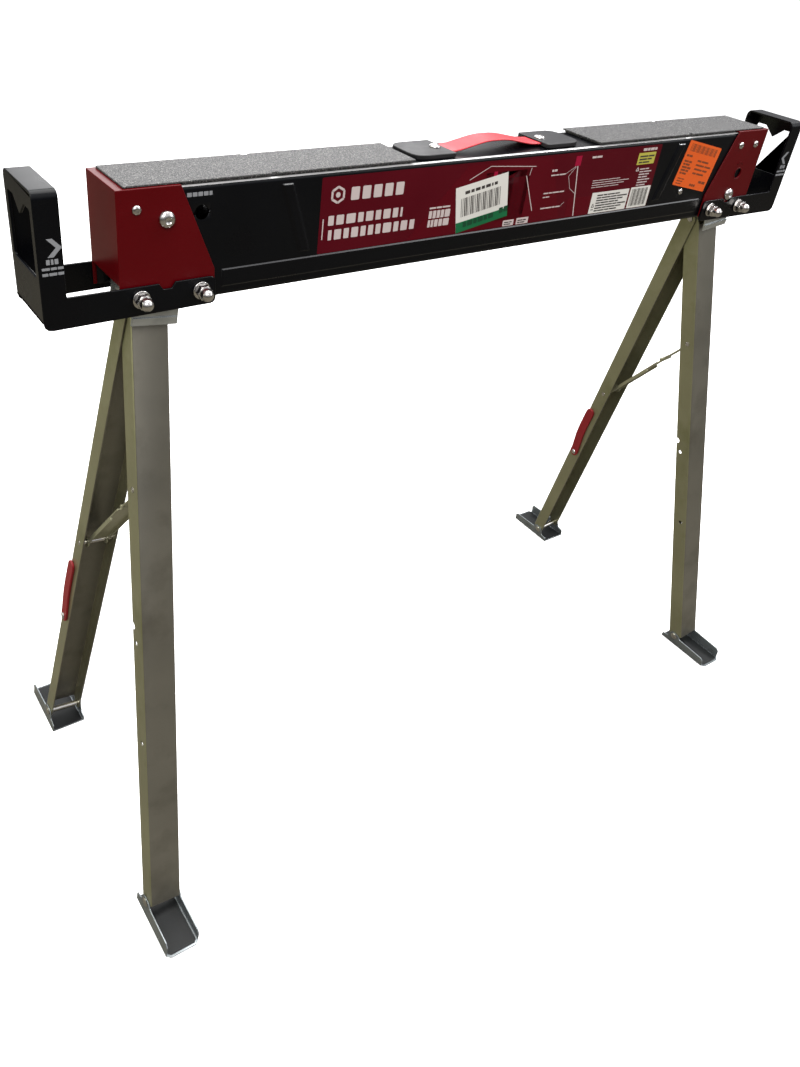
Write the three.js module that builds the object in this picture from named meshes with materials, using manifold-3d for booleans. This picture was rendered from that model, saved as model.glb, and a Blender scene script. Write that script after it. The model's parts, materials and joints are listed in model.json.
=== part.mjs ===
// Folding sawhorse: a steel beam with two pairs of splayed channel legs that fold up inside it.
// Millimetres. The origin is on the floor under the middle of the beam, +X runs along the beam,
// the labelled side faces -Y and +Z is up.
import * as THREE from "three";
import { mergeVertices } from "three/addons/utils/BufferGeometryUtils.js";
import Module from "manifold-3d";

const wasm = await Module();
wasm.setup();

// ---------- driving dimensions ----------
const GAP = 0.3; // running gap between neighbouring pieces
const SHEET = 1.5; // beam, cap and leg steel
const HALF = 441; // half the length over the two end caps

// beam and caps
const BEAM_TOP = 808;
const BEAM_BOTTOM = 705;
const BEAM_HALF_WIDTH = 31;
const CAP_INNER = BEAM_HALF_WIDTH + GAP;
const CAP_OUTER = CAP_INNER + SHEET + 0.2;
const CAP_TOP = 810;
const CAP_END_BOTTOM = 727;
const GRIP_TOP = 812;
const GRIP_START = 8;
const GRIP_END = 310;

// support arms
const ARM_REACH = 69; // how far an arm stands beyond the cap
const ARM_UPRIGHT = 21.5; // width of its upright
const ARM_SHEET = 2.5;
const ARM_INNER = CAP_OUTER + GAP;
const ARM_OUTER = ARM_INNER + ARM_SHEET;
const ARM_TOP = 816;
const ARM_FLOOR = 698;
const ARM_BAR_TOP = 726;
const ARM_INSIDE_END = 91; // where the bar ends under the beam
const ARM_BOLTS = [18, 76]; // bolt places, measured inward from the end of the cap
const ARM_BOLT_Z = 714.5;

// leg pairs
const LEAN = THREE.MathUtils.degToRad(6.35); // outward lean of each pair
const SPLAY = THREE.MathUtils.degToRad(13.9); // half the angle between the two legs of a pair
const LEG = 697; // spread pin to foot pin
const LEG_DEEP = 13.5; // spread pin to the outer face of either web
const FRONT_LEG = { half: 18.5, depth: 24 };
const BACK_LEG = { half: 20.5, depth: 22 };
const FOOT_PIN_HEIGHT = 18.3; // foot pin above the sole, along the leaning pair
const PAIRS = {
  left: { side: -1, inset: 45, z: 782 },
  right: { side: 1, inset: 42, z: 730.5 },
};
const SPREAD_Z = (FOOT_PIN_HEIGHT + LEG * Math.cos(SPLAY)) * Math.cos(LEAN);

// spreader links and shelf pegs, as distances down a leg from the spread pin
const LOWER_LINK_AT = 334;
const UPPER_LINK_AT = 178;
const PEG_AT = 474;

// ---------- colours ----------
const FINISH = {
  black: { color: 0x0b0b0d, roughness: 0.3, metalness: 0.4 },
  red: { color: 0x7c0710, roughness: 0.28, metalness: 0.3 },
  zinc: { color: 0x8b8a72, roughness: 0.45, metalness: 0.85 },
  bright: { color: 0xc9c7c2, roughness: 0.2, metalness: 1 },
  grit: { color: 0x9c9b98, roughness: 0.95, metalness: 0 },
  strap: { color: 0xf0525c, roughness: 0.55, metalness: 0 },
  rubber: { color: 0x16171a, roughness: 0.7, metalness: 0 },
};

// ---------- solids ----------
// A closed three.js geometry as a solid that can be joined and cut.
function solid(geometry) {
  const plain = geometry.index ? geometry.toNonIndexed() : geometry;
  plain.deleteAttribute("normal");
  plain.deleteAttribute("uv");
  const merged = mergeVertices(plain, 1e-4);
  return new wasm.Manifold(
    new wasm.Mesh({
      numProp: 3,
      vertProperties: new Float32Array(merged.attributes.position.array),
      triVerts: new Uint32Array(merged.index.array),
    }),
  );
}

function geometryOf(made) {
  const mesh = made.getMesh();
  return new THREE.BufferGeometry()
    .setAttribute("position", new THREE.BufferAttribute(mesh.vertProperties, 3))
    .setIndex(new THREE.BufferAttribute(mesh.triVerts, 1));
}

const joined = (pieces) => pieces.reduce((all, piece) => all.add(piece));
const without = (body, cuts) => cuts.reduce((left, cut) => left.subtract(cut), body);

function box([x0, x1], [y0, y1], [z0, z1]) {
  return solid(
    new THREE.BoxGeometry(x1 - x0, y1 - y0, z1 - z0).translate(
      (x0 + x1) / 2,
      (y0 + y1) / 2,
      (z0 + z1) / 2,
    ),
  );
}

// A round bar along X or Y between two ends, through a point given by its other two coordinates.
function bar(axis, radius, [from, to], a, b, sides = 12) {
  const length = to - from;
  const middle = (from + to) / 2;
  const cylinder = new THREE.CylinderGeometry(radius, radius, length, sides);
  if (axis === "x") {
    return solid(cylinder.rotateZ(Math.PI / 2).translate(middle, a, b));
  }
  return solid(cylinder.translate(a, middle, b));
}

// An outline drawn in the X-Z plane, made solid between two values of y.
function plateXZ(shape, [y0, y1], curveSegments = 3) {
  const options = { depth: y1 - y0, bevelEnabled: false, curveSegments };
  return solid(
    new THREE.ExtrudeGeometry(shape, options).rotateX(Math.PI / 2).translate(0, y1, 0),
  );
}

// An outline drawn in the Y-Z plane, made solid between two values of x.
function plateYZ(shape, [x0, x1], curveSegments = 3) {
  const options = { depth: x1 - x0, bevelEnabled: false, curveSegments };
  return solid(
    new THREE.ExtrudeGeometry(shape, options)
      .rotateX(Math.PI / 2)
      .rotateZ(Math.PI / 2)
      .translate(x0, 0, 0),
  );
}

// A closed outline through corner points [a, b, radius], each corner rounded by its radius.
function rounded(points) {
  const shape = new THREE.Shape();
  const corner = (index) => points[(index + points.length) % points.length];
  points.forEach(([a, b, radius = 0], index) => {
    const here = new THREE.Vector2(a, b);
    const back = new THREE.Vector2(...corner(index - 1).slice(0, 2)).sub(here).normalize();
    const on = new THREE.Vector2(...corner(index + 1).slice(0, 2)).sub(here).normalize();
    const half = Math.acos(THREE.MathUtils.clamp(back.dot(on), -1, 1)) / 2;
    const cut = radius ? radius / Math.tan(half) : 0;
    const start = here.clone().addScaledVector(back, cut);
    const end = here.clone().addScaledVector(on, cut);
    if (index) {
      shape.lineTo(start.x, start.y);
    } else {
      shape.moveTo(start.x, start.y);
    }
    if (radius) {
      shape.quadraticCurveTo(a, b, end.x, end.y);
    }
  });
  shape.closePath();
  return shape;
}

// A turned piece along +Y from profile points [radius, distance].
function turned(profile, sides = 12) {
  const points = profile.map(([radius, along]) => new THREE.Vector2(radius, along));
  return solid(new THREE.LatheGeometry(points, sides));
}

// ---------- the scene ----------
const sawhorse = new THREE.Group();

function add(parent, name, made, finish) {
  const mesh = new THREE.Mesh(geometryOf(made), new THREE.MeshStandardMaterial(FINISH[finish]));
  mesh.name = name;
  parent.add(mesh);
  return mesh;
}

const sides = Object.entries(PAIRS);
const inward = (side, inset) => side * (HALF - inset); // x of a place given from a cap's end
const span = (a, b) => [Math.min(a, b), Math.max(a, b)];
const bothFaces = { front: -1, back: 1 };

// ---------- beam ----------
// The beam is an inverted channel, open at the bottom, where the folded legs lie.
function beamShell() {
  const edge = BEAM_HALF_WIDTH;
  const inner = edge - SHEET;
  const outline = rounded([
    [-edge, BEAM_BOTTOM],
    [-edge, BEAM_TOP, 4],
    [edge, BEAM_TOP, 4],
    [edge, BEAM_BOTTOM],
    [inner, BEAM_BOTTOM],
    [inner, BEAM_TOP - SHEET, 2.5],
    [-inner, BEAM_TOP - SHEET, 2.5],
    [-inner, BEAM_BOTTOM],
  ]);
  const through = [-HALF, HALF];
  const holes = sides.flatMap(([, { side, inset, z }]) => [
    bar("y", 5 + GAP, through, inward(side, inset), z),
    ...ARM_BOLTS.map((u) => bar("y", 4 + GAP, through, inward(side, u), ARM_BOLT_Z)),
  ]);
  holes.push(bar("y", 6.5, [-40, 0], inward(-1, 79), 784, 16));
  holes.push(bar("y", 2.8, through, inward(1, 142), 742));
  return without(plateYZ(outline, [3 - HALF, HALF - 3]), holes);
}
add(sawhorse, "beam", beamShell(), "black");

// ---------- grip strips ----------
for (const [name, { side }] of sides) {
  const across = BEAM_HALF_WIDTH - 0.6;
  const notch = 152; // small nicks in both long edges
  const strip = box(
    span(inward(side, GRIP_START), inward(side, GRIP_END)),
    [-across, across],
    [CAP_TOP + GAP, GRIP_TOP],
  );
  const foot = box(
    span(inward(side, 62), inward(side, GRIP_END - 2)),
    [2 - across, across - 2],
    [BEAM_TOP + GAP, CAP_TOP + 1],
  );
  const nicks = [-1, 1].map((face) =>
    box(
      span(inward(side, notch - 3.5), inward(side, notch + 3.5)),
      span(face * (across - 3), face * (across + 3)),
      [BEAM_TOP, GRIP_TOP + 1],
    ),
  );
  add(sawhorse, `grip_strip_${name}`, without(strip.add(foot), nicks), "grit");
}

// ---------- end caps ----------
// A folded cap: top, closed end, and slanted front and back faces that reach down to the bolts.
function endCap(side, { inset, z }) {
  const outline = rounded([
    [inward(side, 0), BEAM_BOTTOM],
    [inward(side, 0), CAP_TOP],
    [inward(side, 59), CAP_TOP],
    [inward(side, 91), 732, 3],
    [inward(side, 91), BEAM_BOTTOM],
  ]);
  const block = plateXZ(outline, [-CAP_OUTER, CAP_OUTER]);
  const hollow = box(
    span(inward(side, 2.5), inward(side, 120)),
    [-CAP_INNER, CAP_INNER],
    [BEAM_BOTTOM - 1, BEAM_TOP + GAP],
  );
  const doorway = box(
    span(inward(side, -1), inward(side, 3)),
    [-CAP_INNER, CAP_INNER],
    [BEAM_BOTTOM - 1, CAP_END_BOTTOM],
  );
  const through = [-60, 60];
  const holes = ARM_BOLTS.map((u) => bar("y", 4 + GAP, through, inward(side, u), ARM_BOLT_Z));
  holes.push(bar("y", 5 + GAP, through, inward(side, inset), z));
  if (side > 0) {
    holes.push(bar("y", 6.5, [-60, 0], inward(side, 36), 757, 16));
  }
  return without(block, [hollow, doorway, ...holes]);
}
for (const [name, pair] of sides) {
  add(sawhorse, `end_cap_${name}`, endCap(pair.side, pair), "red");
}

// Small rivets hold each cap to the beam; they sit on its faces.
const rivetHead = () =>
  turned([
    [0, 0],
    [4, 0],
    [3.4, 1.2],
    [1.6, 2],
    [0, 2.2],
  ]);
function faceOut(group, face) {
  group.rotation.x = face < 0 ? Math.PI : 0;
}
for (const [name, { side }] of sides) {
  const places = side < 0 ? { upper: 18 } : { outer: 18, inner: 48 };
  for (const [place, inset] of Object.entries(places)) {
    for (const [faceName, face] of Object.entries(bothFaces)) {
      const rivet = add(sawhorse, `cap_rivet_${name}_${place}_${faceName}`, rivetHead(), "bright");
      rivet.position.set(inward(side, inset), face * (CAP_OUTER + GAP), 792.5);
      faceOut(rivet, face);
    }
  }
}

// ---------- support arms ----------
// Front and back plates joined by a top cover and an end wall with a window: a cradle for a 2x4.
function supportArm(side) {
  const outside = inward(side, -ARM_REACH);
  const inside = inward(side, ARM_UPRIGHT - ARM_REACH);
  const notchDepth = 5.6;
  const outline = rounded([
    [outside, ARM_FLOOR, 8],
    [outside, ARM_TOP],
    [inside, ARM_TOP],
    [inside, ARM_BAR_TOP, 1.5],
    [inward(side, 35.5), ARM_BAR_TOP],
    [inward(side, 39.5), ARM_BAR_TOP - notchDepth, 2.5],
    [inward(side, 47.5), ARM_BAR_TOP - notchDepth, 2.5],
    [inward(side, 51.5), ARM_BAR_TOP],
    [inward(side, ARM_INSIDE_END), ARM_BAR_TOP, 6],
    [inward(side, ARM_INSIDE_END), ARM_FLOOR + 2, 6],
  ]);
  const plates = [-1, 1].map((face) =>
    plateXZ(outline, span(face * ARM_INNER, face * ARM_OUTER)),
  );
  const across = [-ARM_OUTER, ARM_OUTER];
  const cover = box(span(outside, inside), across, [ARM_TOP - ARM_SHEET, ARM_TOP]);
  const wall = plateYZ(
    rounded([
      [-ARM_OUTER, ARM_FLOOR + 8],
      [-ARM_OUTER, ARM_TOP - 1],
      [ARM_OUTER, ARM_TOP - 1],
      [ARM_OUTER, ARM_FLOOR + 8],
    ]),
    span(outside, outside - side * ARM_SHEET),
  );
  const window = plateYZ(
    rounded([
      [-28, 744, 3],
      [-28, 800, 3],
      [-14, 800],
      [0, 788],
      [14, 800],
      [28, 800, 3],
      [28, 744, 3],
    ]),
    span(outside + side * 2, outside - side * 6),
  );
  const corners = [-1, 1].map((face) => {
    const radius = 7;
    const edge = rounded([
      [face * (ARM_OUTER - radius), ARM_TOP + 1],
      [face * (ARM_OUTER + 1), ARM_TOP + 1],
      [face * (ARM_OUTER + 1), ARM_TOP - radius],
      [face * ARM_OUTER, ARM_TOP - radius],
      [face * (ARM_OUTER - 0.6), ARM_TOP - radius * 0.58],
      [face * (ARM_OUTER - radius * 0.29), ARM_TOP - radius * 0.29],
      [face * (ARM_OUTER - radius * 0.58), ARM_TOP - 0.6],
      [face * (ARM_OUTER - radius), ARM_TOP],
    ]);
    return plateYZ(edge, span(outside + side * 2, inside - side * 2));
  });
  const gussets = [-1, 1].map((face) =>
    box(
      span(outside, inside),
      span(face * (ARM_INNER - 2.5), face * (ARM_INNER + 1)),
      [ARM_TOP - 7, ARM_TOP - 1],
    ),
  );
  const holes = ARM_BOLTS.map((u) => bar("y", 4 + GAP, [-60, 60], inward(side, u), ARM_BOLT_Z));
  return without(joined([...plates, cover, wall, ...gussets]), [window, ...corners, ...holes]);
}
for (const [name, { side }] of sides) {
  add(sawhorse, `support_arm_${name}`, supportArm(side), "black");
}

// A stud through arm, cap and beam with its washer and acorn nut.
function acornStud() {
  const inner = BEAM_HALF_WIDTH - SHEET - ARM_OUTER;
  const shank = turned([
    [0, inner],
    [4, inner],
    [4, GAP],
    [8.4, GAP],
    [8.4, 2.2],
    [0, 2.2],
  ]);
  const nut = solid(new THREE.CylinderGeometry(7.4, 7.4, 7, 6).translate(0, 5.4, 0));
  const dome = turned([
    [0, 8],
    [6, 8],
    [6, 13],
    [5.2, 16],
    [3.2, 17.9],
    [0, 18.6],
  ]);
  return joined([shank, nut, dome]);
}
for (const [name, { side }] of sides) {
  for (const [faceName, face] of Object.entries(bothFaces)) {
    ARM_BOLTS.forEach((inset, index) => {
      const place = index ? "inner" : "outer";
      const stud = add(sawhorse, `arm_bolt_${name}_${faceName}_${place}`, acornStud(), "bright");
      stud.position.set(inward(side, inset), face * ARM_OUTER, ARM_BOLT_Z);
      faceOut(stud, face);
    });
  }
}

// ---------- carrying handle ----------
const HANDLE_MIDDLE = -10;
const HANDLE_HALF = 74; // middle of the handle to a strap screw
const STRAP_HALF_WIDTH = 13.5;
const STRAP_THICK = 2;
const STRAP_RISE = 8;
const COVER_INNER = HANDLE_HALF - 10;
const COVER_OUTER = HANDLE_HALF + 42;
const COVER_HALF_WIDTH = 25;
const COVER_FLOOR = 0.9; // an end cover's thickness below the strap
const COVER_ROOF = 1.3; // and above it
const strapFoot = BEAM_TOP + COVER_FLOOR + 2 * GAP;
const coverTop = strapFoot + STRAP_THICK + GAP + COVER_ROOF;

function strap() {
  const steps = 20;
  const reach = HANDLE_HALF + 8;
  const height = (x) => {
    const t = THREE.MathUtils.clamp((COVER_INNER - 1 - Math.abs(x)) / 58, 0, 1);
    return strapFoot + STRAP_RISE * t * t * (3 - 2 * t);
  };
  const xs = Array.from({ length: steps + 1 }, (_, i) => -reach + (2 * reach * i) / steps);
  const under = xs.map((x) => [x, height(x)]);
  const over = xs.map((x) => [x, height(x) + STRAP_THICK]).reverse();
  const shape = new THREE.Shape([...under, ...over].map(([x, z]) => new THREE.Vector2(x, z)));
  const holes = [-1, 1].map((side) =>
    solid(
      new THREE.CylinderGeometry(3 + GAP, 3 + GAP, 40, 16)
        .rotateX(Math.PI / 2)
        .translate(side * HANDLE_HALF, 0, strapFoot),
    ),
  );
  return without(plateXZ(shape, [-STRAP_HALF_WIDTH, STRAP_HALF_WIDTH]), holes);
}
const handle = new THREE.Group();
handle.position.x = HANDLE_MIDDLE;
sawhorse.add(handle);
add(handle, "handle_strap", strap(), "strap");

// Each end of the strap goes into a rounded cover, and one screw goes through both.
function endCover(side) {
  const outline = rounded([
    [side * COVER_OUTER, -COVER_HALF_WIDTH, 16],
    [side * COVER_OUTER, COVER_HALF_WIDTH, 16],
    [side * COVER_INNER, COVER_HALF_WIDTH, 3],
    [side * COVER_INNER, -COVER_HALF_WIDTH, 3],
  ]);
  const options = { depth: coverTop - BEAM_TOP - GAP, bevelEnabled: false, curveSegments: 5 };
  const body = solid(
    new THREE.ExtrudeGeometry(outline, options).translate(0, 0, BEAM_TOP + GAP),
  );
  const pocket = box(
    span(side * (COVER_INNER - 1), side * (HANDLE_HALF + 8.5)),
    [-STRAP_HALF_WIDTH - GAP, STRAP_HALF_WIDTH + GAP],
    [strapFoot - GAP, strapFoot + STRAP_THICK + GAP],
  );
  const hole = solid(
    new THREE.CylinderGeometry(3 + GAP, 3 + GAP, 40, 16)
      .rotateX(Math.PI / 2)
      .translate(side * HANDLE_HALF, 0, strapFoot),
  );
  return without(body, [pocket, hole]);
}

function coverScrew() {
  const head = coverTop + GAP;
  return turned([
    [0, BEAM_TOP + GAP - head],
    [3, BEAM_TOP + GAP - head],
    [3, 0],
    [6, 0],
    [5.5, 1.3],
    [3.5, 2.3],
    [0, 2.6],
  ]);
}

for (const [name, { side }] of sides) {
  add(handle, `handle_cover_${name}`, endCover(side), "black");
  const screw = add(handle, `handle_screw_${name}`, coverScrew(), "bright");
  screw.position.set(side * HANDLE_HALF, 0, coverTop + GAP);
  screw.rotation.x = Math.PI / 2;
}

// ---------- leg pairs ----------
// Each pair is built hanging straight down from its fold pin, then leaned outward as one group.
const HANGER_HALF = 22.8; // outer half width of the hanger along the beam
const HANGER_SIDE = 24; // inner half width across the beam
const HANGER_SIDE_OUTER = 25.6;
const LUG = { outer: 16.6, inner: 15, half: 9 }; // the lugs stand between the legs' flanges
const SHELF = 12.5; // underside of the hanger's shelf above the spread pin

// The hanger turns on the fold pin: two cheeks, a shelf between them, and two lugs under the
// shelf that carry the spread pin. Each cheek ends in a lip that flares outward at its top.
function hanger(spread) {
  const bottom = -(spread + 8);
  const shelf = SHELF - spread;
  const outline = new THREE.Shape();
  outline.moveTo(-HANGER_HALF, bottom);
  outline.lineTo(-HANGER_HALF, 0);
  outline.absarc(0, 0, HANGER_HALF, Math.PI, 0, true);
  outline.lineTo(HANGER_HALF, bottom);
  outline.closePath();
  const cheeks = [-1, 1].map((face) =>
    plateXZ(outline, span(face * HANGER_SIDE, face * HANGER_SIDE_OUTER), 10),
  );
  const ends = [-1, 1].map((end) =>
    box(
      span(end * (HANGER_HALF - 1.8), end * HANGER_HALF),
      [-HANGER_SIDE - 0.5, HANGER_SIDE + 0.5],
      [shelf, Math.max(-8, shelf + 4)],
    ),
  );
  const plate = box(
    [-HANGER_HALF, HANGER_HALF],
    [-HANGER_SIDE - 0.5, HANGER_SIDE + 0.5],
    [shelf, shelf + 1.8],
  );
  const lugs = [-1, 1].map((end) =>
    box(span(end * LUG.inner, end * LUG.outer), [-LUG.half, LUG.half], [-spread - 6, shelf + 1]),
  );
  const lips = [-1, 1].map((face) =>
    plateYZ(
      new THREE.Shape(
        [
          [HANGER_SIDE + 0.4, bottom],
          [HANGER_SIDE_OUTER + 0.3, bottom],
          [HANGER_SIDE_OUTER + 1.9, bottom + 8],
          [HANGER_SIDE + 0.4, bottom + 8],
        ].map(([y, z]) => new THREE.Vector2(face * y, z)),
      ),
      [1 - HANGER_HALF, HANGER_HALF - 1],
    ),
  );
  const holes = [
    bar("y", 5 + GAP, [-60, 60], 0, 0),
    bar("x", 4 + GAP, [-60, 60], 0, -spread),
  ];
  return without(joined([...cheeks, ...ends, plate, ...lugs, ...lips]), holes);
}

// The fold pin crosses beam, caps and hanger and shows a round head on both sides.
function foldPin() {
  const head = CAP_OUTER + GAP;
  return turned(
    [
      [0, -head - 4.5],
      [4.5, -head - 4],
      [7.5, -head - 2],
      [8, -head],
      [5, -head],
      [5, head],
      [8, head],
      [7.5, head + 2],
      [4.5, head + 4],
      [0, head + 4.5],
    ],
    16,
  );
}

// A leg is a channel with its web outward. Its flanges are rounded about both of its pins.
// It is drawn for the back leg, with the web on +Y, and its spread pin at the origin.
function leg({ half, depth }, pinHoles) {
  const lip = LEG_DEEP - depth;
  const ear = Math.min(-lip, 10.5);
  const flangeShape = new THREE.Shape();
  flangeShape.moveTo(lip, -ear);
  flangeShape.lineTo(-ear, 0);
  flangeShape.absarc(0, 0, ear, Math.PI, 0, true);
  flangeShape.lineTo(LEG_DEEP, -7);
  flangeShape.lineTo(LEG_DEEP, 2 - LEG);
  flangeShape.lineTo(8, -LEG);
  flangeShape.absarc(0, -LEG, 8, 0, Math.PI, true);
  flangeShape.lineTo(lip, 4 - LEG);
  flangeShape.closePath();
  const flanges = [-1, 1].map((end) =>
    plateYZ(flangeShape, span(end * half, end * (half - SHEET)), 6),
  );
  const web = box([-half, half], [LEG_DEEP - SHEET, LEG_DEEP], [2 - LEG, -7]);
  const holes = pinHoles.map(([y, s, radius, reach]) =>
    bar("x", radius + GAP, reach, y, -s),
  );
  return without(joined([...flanges, web]), holes);
}

// A foot is a short channel: high ears about the foot pin, and rails out to a cut-off toe.
// Drawn for the back leg with the foot pin at the origin; the toe points to +Y.
const TOE = 67;
const TOE_CUT = 5; // how much each corner of the toe is cut off
const HEEL = 22;
const RAIL = 18; // how high the rails stand above the sole
const HEEL_RAIL = 12; // and behind the leg
const FOOT_FLOOR = 1.2;
const MAT = 0.6;
const flat = { bevelEnabled: false, curveSegments: 1 };

// A plate lying on the sole's level, tilted so that it stays level under a leaning pair.
function onSole(made, tilt) {
  return made
    .rotate([0, THREE.MathUtils.radToDeg(tilt), 0])
    .translate([0, 0, -FOOT_PIN_HEIGHT]);
}

function footOutline(half, heel, toe, cut) {
  return rounded([
    [half, -heel],
    [half, toe - cut],
    [half - cut, toe],
    [cut - half, toe],
    [-half, toe - cut],
    [-half, -heel],
  ]);
}

function foot(half, tilt) {
  const sole = -FOOT_PIN_HEIGHT;
  const cheekShape = rounded([
    [-HEEL, sole - 4],
    [-HEEL, sole + HEEL_RAIL - 3, 3],
    [-11, sole + HEEL_RAIL, 2],
    [-7, 7, 6.5],
    [7, 7, 6.5],
    [12, sole + RAIL + 1, 3],
    [TOE - TOE_CUT - 4, sole + RAIL - 1],
    [TOE - TOE_CUT, sole + RAIL - 5],
    [TOE - TOE_CUT, sole - 4],
  ]);
  const cheeks = [-1, 1].map((end) =>
    plateYZ(cheekShape, span(end * half, end * (half - SHEET))),
  );
  const outline = footOutline(half, HEEL, TOE, TOE_CUT);
  const base = solid(new THREE.ExtrudeGeometry(outline, { ...flat, depth: FOOT_FLOOR }));
  const ground = onSole(box([-60, 60], [-60, 120], [-40, 0]), tilt);
  const pinHole = bar("x", 4 + GAP, [-60, 60], 0, 0);
  return without(joined([...cheeks, onSole(base, tilt)]), [ground, pinHole]);
}

// A thin black mat lines the foot's floor.
function footMat(half, tilt) {
  const outline = footOutline(half - SHEET - 1.2, HEEL - 1, TOE - 3, TOE_CUT - 2);
  const mat = new THREE.ExtrudeGeometry(outline, { ...flat, depth: MAT });
  return onSole(solid(mat.translate(0, 0, FOOT_FLOOR + GAP)), tilt);
}

// A cross pin with low domed ends, along X about the origin.
function crossPin(radius, reach, headRadius) {
  const seat = reach + GAP;
  const profile = headRadius
    ? [
        [0, -seat - 1.6],
        [headRadius * 0.7, -seat - 1.3],
        [headRadius, -seat],
        [radius, -seat],
        [radius, seat],
        [headRadius, seat],
        [headRadius * 0.7, seat + 1.3],
        [0, seat + 1.6],
      ]
    : [
        [0, -reach],
        [radius, -reach],
        [radius, reach],
        [0, reach],
      ];
  return turned(profile).rotate([0, 0, -90]);
}

const LINK_HALF = 12;
const LINK_SHEET = 1.6;
// The lower spreader link: a flat strap with two ears about its pin, drawn pointing up along +Z.
function lowerLink(length) {
  const strip = box([-LINK_HALF, LINK_HALF], [-LINK_SHEET / 2, LINK_SHEET / 2], [6, length]);
  const ears = [-1, 1].map((end) =>
    bar("x", 6.5, span(end * LINK_HALF, end * (LINK_HALF - LINK_SHEET)), 0, 0),
  );
  const cheeks = [-1, 1].map((end) =>
    box(
      span(end * LINK_HALF, end * (LINK_HALF - LINK_SHEET)),
      [-4, LINK_SHEET / 2],
      [0, length * 0.8],
    ),
  );
  return without(joined([strip, ...ears, ...cheeks]), [bar("x", 3 + GAP, [-60, 60], 0, 0)]);
}

// The upper link hangs from its pin and ends in the rolled knuckle of the middle joint.
function upperLink(length) {
  const half = LINK_HALF - 2;
  const strip = box([-half, half], [-LINK_SHEET / 2, LINK_SHEET / 2], [-length, -5]);
  const ears = [-1, 1].map((end) =>
    bar("x", 5.5, span(end * half, end * (half - LINK_SHEET)), 0, 0),
  );
  const knuckle = bar("x", 3, [-half, half], 0, -length);
  return without(joined([strip, ...ears, knuckle]), [bar("x", 3 + GAP, [-60, 60], 0, 0)]);
}

// The shelf peg: a thick flat bar with a slight double bend, from its rivet up along the leg.
function shelfPeg() {
  const wide = 7.5; // half its width
  const middle = [
    [0, 0],
    [1, 12],
    [4, 35],
    [5, 60],
    [4.5, 92],
  ].map(([y, z]) => new THREE.Vector3(y, z, 0));
  const line = new THREE.CatmullRomCurve3(middle);
  const steps = 12;
  const edge = (sign) =>
    Array.from({ length: steps + 1 }, (_, i) => {
      const at = line.getPoint(i / steps);
      const along = line.getTangent(i / steps);
      return new THREE.Vector2(at.x + sign * along.y * wide, at.y - sign * along.x * wide);
    });
  const cap = (centre, from, to) =>
    Array.from({ length: 5 }, (_, i) => {
      const angle = from + ((to - from) * (i + 1)) / 6;
      return new THREE.Vector2(
        centre.x + wide * Math.cos(angle),
        centre.y + wide * Math.sin(angle),
      );
    });
  const top = cap(middle[4], 0, Math.PI);
  const low = cap(middle[0], Math.PI, 2 * Math.PI);
  const shape = new THREE.Shape([...edge(1), ...top, ...edge(-1).reverse(), ...low]);
  const hole = bar("x", 3 + GAP, [-60, 60], 0, 0);
  return without(plateYZ(shape, [-3, 0]), [hole]);
}

// Where the spreader's middle joint stands, seen from the spread pin: y and z.
const onLeg = (face, s, y) => [
  face * (s * Math.sin(SPLAY) + y * Math.cos(SPLAY)),
  -s * Math.cos(SPLAY) + y * Math.sin(SPLAY),
];
const LINK_INSET = 2; // the link pins stand this far outside the line between a leg's pins
const PEG_INSET = 3; // and the peg's rivet this far
const lowerPin = onLeg(1, LOWER_LINK_AT, LINK_INSET);
const upperPin = onLeg(-1, UPPER_LINK_AT, LINK_INSET);
const middleJoint = [-2, -222];

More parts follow.
